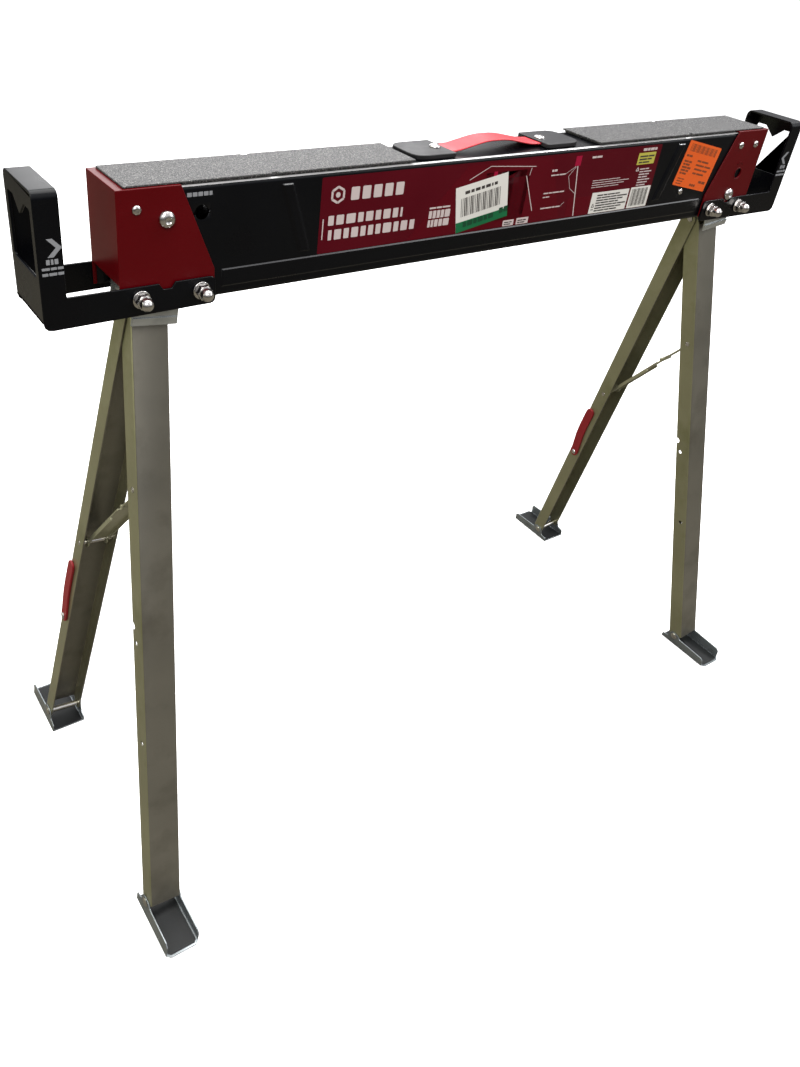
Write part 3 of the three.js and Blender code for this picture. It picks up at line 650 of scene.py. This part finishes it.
def make_fold_pin(side):
    """A shank through both caps, with a dimpled round head on each."""
    node = f"fold_pin_{side}"
    radius = 5
    shank = lathe([[0, -CAP_FACE], [radius, -CAP_FACE], [radius, CAP_FACE], [0, CAP_FACE]])
    shank.transform(Matrix.Rotation(math.radians(90), 4, "X"))
    parts = [shank]
    for out in FACES.values():
        head = dome_head(7.6, 4.6, 0.42)
        head.transform(Matrix.Rotation(math.radians(-90 * out), 4, "X"))
        head.transform(Matrix.Translation((0, out * (CAP_FACE + 0.3), 0)))
        parts.append(head)
    at = Matrix.Translation(middle_of(node) * MM)
    publish(f"{node}_shape", "beam_assembly", BRIGHT, joined(*parts), at, [node])


def make_handle_screw(side):
    node = f"handle_screw_{side}"
    height = 2.6
    middle = middle_of(node)
    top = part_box(node)[1].z / MM
    at = Matrix.Translation(Vector((middle.x, middle.y, top - height)) * MM)
    head = dome_head(6, height)
    publish(f"{node}_head", "beam_assembly", BRIGHT, head, at, [node])


def make_rivets():
    """The caps' rivets, and one more in the beam's own wall."""
    for node in sorted(frame["nodes"]):
        if node.startswith("cap_rivet"):
            middle = middle_of(node)
            at = facing(middle.x, math.copysign(CAP_FACE + 0.2, middle.y), middle.z)
            head = dome_head(4.2, 2.3)
            publish(f"{node}_shape", "beam_assembly", BRIGHT, head, at, [node])
    at = facing(THROUGH_HOLE["x"], -FACE - 0.1, THROUGH_HOLE["z"])
    publish("beam_rivet", "beam_assembly", BRIGHT, dome_head(3.6, 2), at)


def make_heads():
    for side in SIDES:
        make_fold_pin(side)
        make_handle_screw(side)
    make_rivets()


# ---------- labels and stickers ----------
def block(x0, x1, z0, z1, radius=0.0):
    """A rectangle's outline, with round corners if a radius is given."""
    if radius:
        return rounded_rectangle(x0, x1, z0, z1, radius, 4)
    return [(x0, z0), (x1, z0), (x1, z1), (x0, z1)]


def stroke(start, end, width):
    """A straight line of a given width."""
    (x0, z0), (x1, z1) = start, end
    length = math.hypot(x1 - x0, z1 - z0)
    across = ((z0 - z1) / length * width / 2, (x1 - x0) / length * width / 2)
    return [
        (x0 + across[0], z0 + across[1]),
        (x0 - across[0], z0 - across[1]),
        (x1 - across[0], z1 - across[1]),
        (x1 + across[0], z1 + across[1]),
    ]


def strokes(points, width):
    return [stroke(first, second, width) for first, second in zip(points, points[1:])]


def words(x0, x1, z0, z1, lengths, gap):
    """A row of plain blocks that stands for a line of print; it spells nothing."""
    unit = (x1 - x0 - gap * (len(lengths) - 1)) / sum(lengths)
    found = []
    x = x0
    for length in lengths:
        found.append(block(x, x + unit * length, z0, z1, min(unit * length, z1 - z0) * 0.12))
        x += unit * length + gap
    return found


def lines(x0, x1, z0, z1, count, share=0.55):
    """Several thin rows of small print, ragged at the right."""
    pitch = (z1 - z0) / count
    found = []
    for row in range(count):
        low = z0 + pitch * row
        ragged = (x1 - x0) * (1 - 0.13 * ((row * 5 + 2) % 3))
        lengths = [3 + (row * 7 + place * 3) % 5 for place in range(max(2, round((x1 - x0) / 14)))]
        found += words(x0, x0 + ragged, low, low + pitch * share, lengths, pitch * 0.3)
    return found


def bars(x0, x1, z0, z1, count):
    """Upright bars of uneven width, as in a bar code with no code in it."""
    pitch = (x1 - x0) / count
    found = []
    for index in range(count):
        width = pitch * (0.3 + 0.16 * ((index * index * 3 + index) % 4))
        found.append(block(x0 + pitch * index, x0 + pitch * index + width, z0, z1))
    return found


def turned_about(outlines, centre, degrees):
    """Outlines turned together about a point."""
    turn = math.radians(degrees)
    found = []
    for outline in outlines:
        found.append([])
        for x, z in outline:
            dx, dz = x - centre[0], z - centre[1]
            found[-1].append(
                (
                    centre[0] + dx * math.cos(turn) - dz * math.sin(turn),
                    centre[1] + dx * math.sin(turn) + dz * math.cos(turn),
                )
            )
    return found


FILM_PITCH = 0.09
FILM_THICKNESS = 0.08


def decal(name, material, outlines, layer, out=FACE):
    """Thin closed films on a front face; outlines are in x and height, layers lie on each other."""
    made = bmesh.new()
    low = 0.03 + FILM_PITCH * layer
    for outline in outlines:
        slab(outline, low, low + FILM_THICKNESS, made)
    film = publish(name, "beam_assembly", material, made, facing(0, -out, 0))
    for polygon in film.data.polygons:
        polygon.use_smooth = False


def ring_sign(x, z, radius):
    """A plain sign for the maker's: a six-sided ring around a dot."""
    hexagon = strokes(arc((x, z), radius, 30, 390, 6), radius * 0.3)
    return [*hexagon, arc((x, z), radius * 0.34, 0, 345, 23)]


LABEL_SWEEP = [(-130, 731), (88, 731), (60, 801), (-60, 801)]
LABEL_BOXES = [block(137, 200, 730.6, 755, 0.8), block(203, 238, 730.6, 755.5, 0.8)]


def title_print():
    """The plain sign, and three rows of large blocks in place of the product's title."""
    found = ring_sign(-220, 786, 7.6)
    found += words(-205, -142, 779.5, 792, [3, 3, 3, 3, 3], 3.6)
    found += words(-229, -140, 757, 766.5, [3, 4, 5, 3, 4, 3, 4, 3, 1.2], 3.0)
    found += words(-228, -123, 742.5, 752.5, [2, 4, 3, 4, 3, 3, 3, 5, 3, 4, 3], 3.0)
    return [*found, block(-235.4, -234.2, 744, 764)]


def figures_print():
    """Two bold rows beside the title, under a row of small print."""
    found = words(-105, -77, 750.5, 758.5, [3, 3, 3, 3, 5], 1.2)
    found += words(-105, -77, 741.5, 749, [2, 2, 3, 3, 5], 1.2)
    return found + words(-105, -78, 760.5, 762.2, [5, 4, 6], 1.0)


def drawing_print():
    """Line drawings of the sawhorse in use, with short captions."""
    found = strokes([(-57, 786), (-30, 798), (36, 793)], 0.7)
    found += [stroke((24, 784), (43, 744), 1.0), stroke((30, 792), (28.5, 784), 0.7)]
    found += [block(2, 18, 730.8, 737.2, 0.6), block(22, 40, 730.8, 737.8, 0.6)]
    found += [stroke((101, 789), (112, 731), 1.4)]
    found += strokes([(99, 788), (90, 778), (96, 764), (107, 757)], 0.5)
    found += words(62, 70, 785, 787.4, [2, 3], 0.8) + words(62, 84, 780.4, 781.8, [3, 2, 4], 0.8)
    found += words(56, 88, 761, 762.4, [3, 2, 4, 3], 0.8) + words(56, 66, 756.8, 758, [2, 3], 0.8)
    found += words(56, 86, 744.2, 745.6, [3, 4, 2, 3], 0.8)
    return found + [stroke((84, 781), (98, 788), 0.4), stroke((86, 744.5), (92, 749), 0.4)]


def corner_print():
    """Small print and a three-sided mark at the label's right end."""
    found = words(122, 138, 795.2, 797.4, [4, 5], 0.9)
    found += lines(132, 194, 761, 771.5, 4, 0.3)
    found += words(207, 231, 797.6, 800.6, [3, 2, 3, 2], 0.9)
    found += lines(210, 231, 757, 779, 7, 0.42)
    return found + strokes([(203, 775), (205.5, 779), (208, 775), (203, 775)], 1.1)


def boxed_print():
    """Dark print inside the pale and yellow boxes."""
    found = lines(146, 198, 732.5, 753.5, 7, 0.5) + bars(206, 235, 733, 753.5, 17)
    found += lines(204, 229, 783.6, 794, 3, 0.5)
    found += [stroke((140, 735), (144, 735), 1.0)]
    found += strokes([(140, 738), (142, 742), (144, 738), (140, 738)], 0.8)
    return found + lines(4, 17, 732, 736.4, 2, 0.5) + lines(24, 38.5, 732, 737, 2, 0.5)


def make_label():
    decal("label_film", LABEL_RED, [block(-239, 239, 730, 803.5, 1.5)], 0)
    decal("label_zone_bright", LABEL_BRIGHT, [LABEL_SWEEP, block(98, 238, 731, 752)], 1)
    decal("label_zone_dark", LABEL_DARK, [block(-34, 29, 738, 791)], 1)
    light = title_print() + figures_print() + drawing_print() + corner_print()
    decal("label_print", PRINT_LIGHT, light, 2)
    decal("label_boxes", PRINT_PAPER, LABEL_BOXES, 2)
    accents = [block(96, 105, 788.5, 799.5), block(-24, -19, 786, 792)]
    decal("label_accent", PRINT_RED, accents, 2)
    decal("label_yellow", PRINT_YELLOW, [block(201, 231, 782, 795.5, 0.6)], 2)
    decal("label_small_print", PRINT_DARK, boxed_print(), 3)


def make_price_sticker():
    outline = [(-74, 779), (-64.5, 730.5), (6, 742.5), (-4, 790.5)]
    decal("price_sticker", PRINT_PAPER, [outline], 4)
    band = [(-66.5, 741.5), (-64.5, 730.5), (6, 742.5), (4.2, 752)]
    decal("price_band", PRINT_GREEN, [band], 5)
    tilt, centre = 9.5, (-35, 762)
    code = bars(-63, -8, 752, 772, 26)
    code += words(-58, -14, 775.5, 778.8, [3, 2, 3, 2, 3, 1, 2], 1.6)
    decal("price_bars", PRINT_DARK, turned_about(code, centre, tilt), 5)
    marks = words(-60, -18, 740.2, 745.6, [2, 3, 2, 3, 2, 3], 1.2)
    marks += words(-10, 2, 742, 748, [2, 2], 1.2)
    decal("price_marks", PRINT_DARK_GREEN, turned_about(marks, centre, tilt), 6)


def make_orange_sticker():
    tilt, centre = -12.5, (318, 771.5)
    paper = turned_about([block(284, 352, 744.5, 798.5, 1.2)], centre, tilt)
    decal("orange_sticker", PRINT_ORANGE, paper, 1)
    marks = bars(290, 346, 786.5, 795.5, 24)
    marks += lines(288, 306, 759, 777, 5, 0.62) + words(288, 300, 780, 782.4, [3, 4], 1.0)
    marks += lines(314, 346, 762, 782, 4, 0.4) + lines(289, 303, 747, 756, 3, 0.4)
    marks += words(318, 330, 747.5, 750.5, [2, 2, 2], 0.8) + words(334, 348, 753, 756, [3, 3], 1.0)
    decal("orange_marks", PRINT_BROWN, turned_about(marks, centre, tilt), 2)


def make_small_marks():
    """Grey marks printed on the beam and on the arms' front uprights."""
    decal("beam_mark", PRINT_GREY, words(-376, -352, 798.2, 801.8, [3, 3, 3, 3, 2], 0.9), 0)
    for side, sign in SIDES.items():
        left, right = min(sign * 507, sign * 489), max(sign * 507, sign * 489)
        rows = words(left + 4, right - 4, 756.6, 761, [3, 2, 3], 1.0)
        rows += words(left, right, 752, 754.2, [4, 3, 3], 0.8)
        rows += words(left, right, 747.2, 749.6, [3, 4, 3], 0.8)
        half_chevrons = [
            [(sign * 501.5, z), (sign * 496.5, z), (sign * 489, 770.3), (sign * 494, 770.3)]
            for z in (778, 762.6)
        ]
        decal(f"arm_mark_{side}", PRINT_GREY, half_chevrons + rows, 0, ARM_FACE)


def make_cap_details():
    """The right cap's plain hole has a rolled rim, with a short pressed arc above it."""
    rim = lathe([[6.3, -1.4], [7.4, 0.1], [6.9, 0.5], [6.3, 0.3], [6.0, -0.6], [6.3, -1.4]])
    publish("cap_hole_rim", "beam_assembly", RED, rim, facing(405, -CAP_FACE, 757))
    upper = arc((404, 762), 9.6, 50, 130, 8)
    lower = arc((404, 762), 8.2, 130, 50, 8)
    at = facing(0, -CAP_FACE, 0)
    publish("cap_arc", "beam_assembly", RED, slab(upper + lower, 0.02, 0.5), at)


# ---------- stage ----------
def for_camera(tree, seen, otherwise):
    """Mixes two shaders: one is what the camera sees, the other lights the object."""
    mix = tree.nodes.new("ShaderNodeMixShader")
    ray = tree.nodes.new("ShaderNodeLightPath")
    tree.links.new(ray.outputs["Is Camera Ray"], mix.inputs[0])
    tree.links.new(otherwise, mix.inputs[1])
    tree.links.new(seen, mix.inputs[2])
    return mix.outputs[0]


def make_world():
    """White to look at, but it lights the object as a room with a bright ceiling does."""
    world = bpy.data.worlds.new("studio")
    world.use_nodes = True
    bpy.context.scene.world = world
    tree = world.node_tree
    seen = tree.nodes["Background"]
    seen.inputs["Color"].default_value = (1, 1, 1, 1)
    room = tree.nodes.new("ShaderNodeBackground")
    split = tree.nodes.new("ShaderNodeSeparateXYZ")
    ramp = tree.nodes.new("ShaderNodeValToRGB")
    tree.links.new(tree.nodes.new("ShaderNodeTexCoord").outputs["Generated"], split.inputs[0])
    tree.links.new(split.outputs["Z"], ramp.inputs["Fac"])
    ramp.color_ramp.elements[0].position = 0.02
    ramp.color_ramp.elements[0].color = (0.1, 0.1, 0.105, 1)
    ramp.color_ramp.elements[1].position = 0.45
    ramp.color_ramp.elements[1].color = (0.95, 0.95, 0.97, 1)
    tree.links.new(ramp.outputs["Color"], room.inputs["Color"])
    output = tree.nodes["World Output"].inputs["Surface"]
    tree.links.new(for_camera(tree, seen.outputs[0], room.outputs[0]), output)


FLOOR_REACH = 14000
FLOOR_TOP = -0.6


def make_floor():
    """Nearly white to look at; the light it sends up to the object is dimmer and warmer."""
    outline = rounded_rectangle(-FLOOR_REACH, FLOOR_REACH, -FLOOR_REACH, FLOOR_REACH, 3000)
    floor = slab(outline, -40, FLOOR_TOP)
    look = Look("pale floor", Roughness=0.8, Emission_Color=(1, 1, 1, 1), Emission_Strength=0.3)
    look.colour(look.blend(look.noise(3, 2), srgb(248, 248, 248), srgb(254, 254, 254)))
    dim = look.node("BsdfDiffuse", {"Color": srgb(98, 94, 84)})
    out = next(node for node in look.tree.nodes if node.type == "OUTPUT_MATERIAL")
    shown = for_camera(look.tree, look.shader.outputs[0], dim.outputs[0])
    look.tree.links.new(shown, out.inputs["Surface"])
    mesh = bpy.data.meshes.new("floor")
    floor.transform(Matrix.Scale(MM, 4))
    floor.to_mesh(mesh)
    floor.free()
    mesh.materials.append(look.material)
    plane = bpy.data.objects.new("floor", mesh)
    bpy.context.scene.collection.objects.link(plane)


LAMPS = {
    "ceiling": {"at": (0.1, 0.5, 3.0), "power": 95, "size": 2.6, "colour": (1, 0.99, 0.97)},
    "key": {"at": (-1.5, -1.7, 2.6), "power": 45, "size": 1.2, "colour": (1, 0.97, 0.93)},
    "fill": {"at": (2.2, -1.8, 1.8), "power": 14, "size": 1.6, "colour": (0.96, 0.98, 1)},
    "side": {"at": (-2.4, 0.9, 0.9), "power": 14, "size": 1.3, "colour": (0.97, 1.0, 0.7)},
    "edge": {"at": (2.6, -0.3, 3.1), "power": 60, "size": 0.5, "colour": (1, 1, 1)},
    "behind": {"at": (1.4, 3.2, 1.5), "power": 32, "size": 2.2, "colour": (1, 1, 1)},
}


def make_lamps():
    for name, facts in LAMPS.items():
        lamp = bpy.data.lights.new(name, "AREA")
        lamp.energy = facts["power"]
        lamp.size = facts["size"]
        lamp.color = facts["colour"]
        holder = bpy.data.objects.new(name, lamp)
        holder.location = facts["at"]
        aim = Vector((0, 0, 0.5)) - Vector(facts["at"])
        holder.rotation_euler = aim.to_track_quat("-Z", "Y").to_euler()
        bpy.context.scene.collection.objects.link(holder)


def make_stage():
    bpy.context.scene.view_settings.view_transform = "Standard"
    make_world()
    make_floor()
    make_lamps()


# ---------- the rest of the frame ----------
def long_edges(made, x, y):
    """The edges that run down a channel's corners at this distance from its middle."""
    found = []
    for edge in made.edges:
        first, second = (vert.co for vert in edge.verts)
        ends = (first, second)
        at_corner = all(abs(abs(v.x) - x) < 0.1 and abs(abs(v.y) - y) < 0.1 for v in ends)
        if at_corner and abs(first.z - second.z) > 0.5:
            found.append(edge)
    return found


def make_leg(face, side):
    """A roll-formed channel with round corners; its flanges are painted a lighter, greener zinc than
    its web, a painted reflection of greenish side light.
    """
    node = f"{face}_leg_{side}"
    place = leg_frame(face, side)
    made = cad_copy(node, place)
    for inset, radius in ((0, 2.6), (LEG_SHEET, 1.2)):
        edges = long_edges(made, LEG_HALF[face] - inset, LEG_DEPTH - inset)
        bmesh.ops.bevel(made, geom=edges, offset=radius, segments=5, profile=0.5, affect="EDGES")
    made = roll_edges(made, 0.3, 2, 60)
    made.normal_update()
    # Faces that look sideways get the lighter, greener zinc: a painted reflection of greenish side
    # light.
    for polygon in made.faces:
        polygon.material_index = 1 if abs(polygon.normal.x) > 0.8 else 0
    zincs = [WEB_ZINC, FLANGE_ZINC_GREEN_REFLECTION]
    publish(f"{node}_shape", node, zincs, made, place, [node])


def make_sheet_parts():
    """The pieces that keep their CAD shape and get rolled edges; fine foot triangles are welded."""
    for side in SIDES:
        refined(f"end_cap_{side}", RED, 0.7)
        refined(f"support_arm_{side}", BLACK, 0.7)
        refined(f"grip_strip_{side}", GRIT, 0.4)
        refined(f"handle_cover_{side}", HANDLE_BLACK, 0.9)
        refined(f"hanger_{side}", HANGER_ZINC, 0.4)
        refined(f"spread_pin_{side}", BRIGHT, 0.3)
        for face in FACES:
            make_leg(face, side)
            refined(f"{face}_foot_{side}", FOOT_ZINC, 0.4, weld=0.3)
            refined(f"{face}_foot_mat_{side}", RUBBER, 0.2)
            refined(f"{face}_foot_pin_{side}", BRIGHT, 0.2)
        for link in ("lower_link", "upper_link"):
            refined(f"{link}_{side}", LINK_ZINC, 0.3)
            refined(f"{link}_pin_{side}", BRIGHT, 0.2)
        refined(f"shelf_peg_{side}", PEG_RED, 0.6)
        refined(f"peg_rivet_{side}", BRIGHT, 0.2)
    refined("handle_strap", STRAP, 1.0)


make_camera()
make_stage()
make_beam()
make_studs()
make_heads()
make_sheet_parts()
make_cap_details()
make_label()
make_price_sticker()
make_orange_sticker()
make_small_marks()
